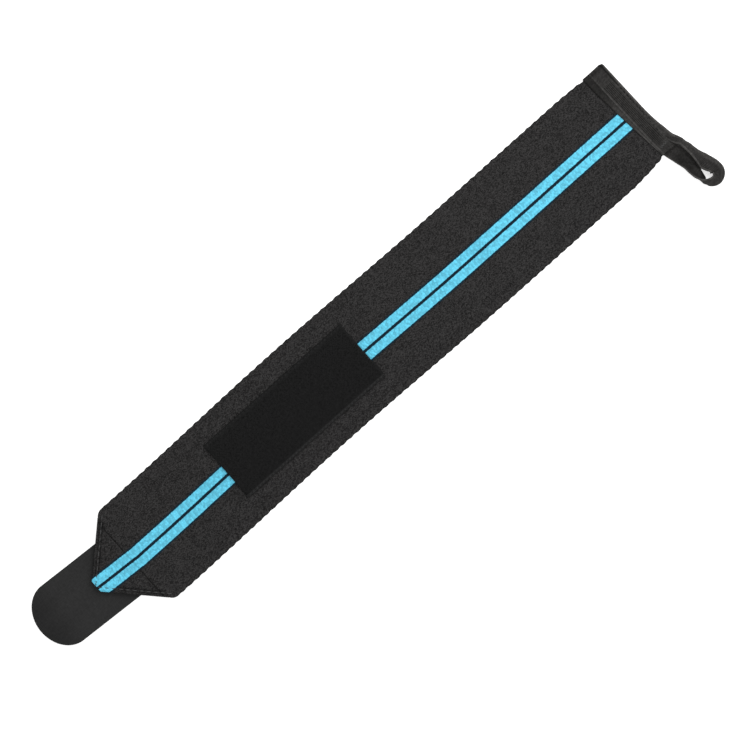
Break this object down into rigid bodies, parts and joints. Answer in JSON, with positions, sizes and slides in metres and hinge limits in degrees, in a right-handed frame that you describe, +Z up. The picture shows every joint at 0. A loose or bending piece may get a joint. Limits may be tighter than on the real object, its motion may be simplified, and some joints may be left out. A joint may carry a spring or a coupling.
{
  "type": "wrist wrap",
  "caption": "Woven elastic wrist wrap lying flat, with a pointed end, a hook tab, a pile patch, woven stripes and a thumb loop of ribbed tape at the bound end.",
  "frame": {"origin": "on the underside of the band, at the middle of its length and of its width", "axes": "+X along the band towards the bound end and the thumb loop, +Y across it away from the thumb loop, +Z up out of the face with the stripes and the pile patch"},
  "size_m": [0.5641, 0.1182, 0.0139],
  "materials": {
    "elastic": "black woven elastic",
    "stripe_yarn": "light blue woven yarn",
    "pile": "black loop pile",
    "hook_tape": "smooth black tape with hooks beneath",
    "tape": "black ribbed elastic tape"
  },
  "bodies": {
    "root": {"elastic_band": "elastic", "stripe_upper": "stripe_yarn", "stripe_lower": "stripe_yarn", "pile_patch": "pile", "hook_tab": "hook_tape", "bound_tape": "tape"}
  },
  "joints": []
}
